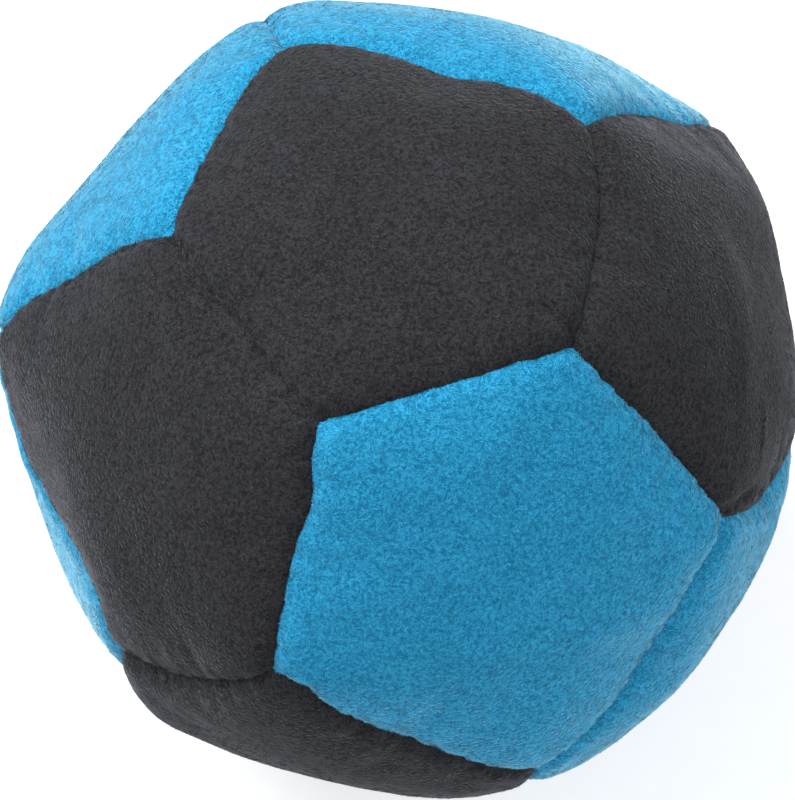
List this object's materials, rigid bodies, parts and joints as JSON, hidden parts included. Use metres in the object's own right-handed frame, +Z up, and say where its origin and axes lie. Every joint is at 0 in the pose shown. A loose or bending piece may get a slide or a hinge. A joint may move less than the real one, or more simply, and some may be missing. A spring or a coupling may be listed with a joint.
{
  "type": "juggling ball",
  "caption": "Soft stuffed juggling ball of five-sided suede panels in black and blue, filled with millet.",
  "frame": {"origin": "middle of the flat patch that the ball rests on", "axes": "+Z up, -Y the front, where the upper front panel faces a little to the right, +X to the ball's right as seen from the front"},
  "size_m": [0.0657, 0.0645, 0.0621],
  "materials": {
    "black_suede": "napped synthetic suede",
    "blue_suede": "napped synthetic suede",
    "sewing_thread": "waxed polyester thread",
    "millet": "smooth dry seed"
  },
  "bodies": {
    "root": {"millet_filling": "millet", "panel_base": "black_suede", "panel_lower_back": "blue_suede", "panel_lower_back_right": "black_suede", "panel_lower_front_left": "black_suede", "panel_lower_front_right": "blue_suede", "panel_lower_left": "blue_suede", "panel_top": "black_suede", "panel_upper_back": "blue_suede", "panel_upper_back_left": "blue_suede", "panel_upper_front": "blue_suede", "panel_upper_left": "black_suede", "panel_upper_right": "black_suede", "thread_lower_back_right_to_base": "sewing_thread", "thread_lower_back_right_to_lower_back": "sewing_thread", "thread_lower_back_to_base": "sewing_thread", "thread_lower_back_to_lower_left": "sewing_thread", "thread_lower_front_left_to_base": "sewing_thread", "thread_lower_front_right_to_base": "sewing_thread", "thread_lower_front_right_to_lower_back_right": "sewing_thread", "thread_lower_front_right_to_lower_front_left": "sewing_thread", "thread_lower_left_to_base": "sewing_thread", "thread_lower_left_to_lower_front_left": "sewing_thread", "thread_top_to_upper_back": "sewing_thread", "thread_top_to_upper_back_left": "sewing_thread", "thread_top_to_upper_front": "sewing_thread", "thread_top_to_upper_left": "sewing_thread", "thread_top_to_upper_right": "sewing_thread", "thread_upper_back_left_to_lower_back": "sewing_thread", "thread_upper_back_left_to_lower_left": "sewing_thread", "thread_upper_back_left_to_upper_left": "sewing_thread", "thread_upper_back_to_lower_back": "sewing_thread", "thread_upper_back_to_lower_back_right": "sewing_thread", "thread_upper_back_to_upper_back_left": "sewing_thread", "thread_upper_front_to_lower_front_left": "sewing_thread", "thread_upper_front_to_lower_front_right": "sewing_thread", "thread_upper_front_to_upper_left": "sewing_thread", "thread_upper_front_to_upper_right": "sewing_thread", "thread_upper_left_to_lower_front_left": "sewing_thread", "thread_upper_left_to_lower_left": "sewing_thread", "thread_upper_right_to_lower_back_right": "sewing_thread", "thread_upper_right_to_lower_front_right": "sewing_thread", "thread_upper_right_to_upper_back": "sewing_thread"}
  },
  "joints": []
}
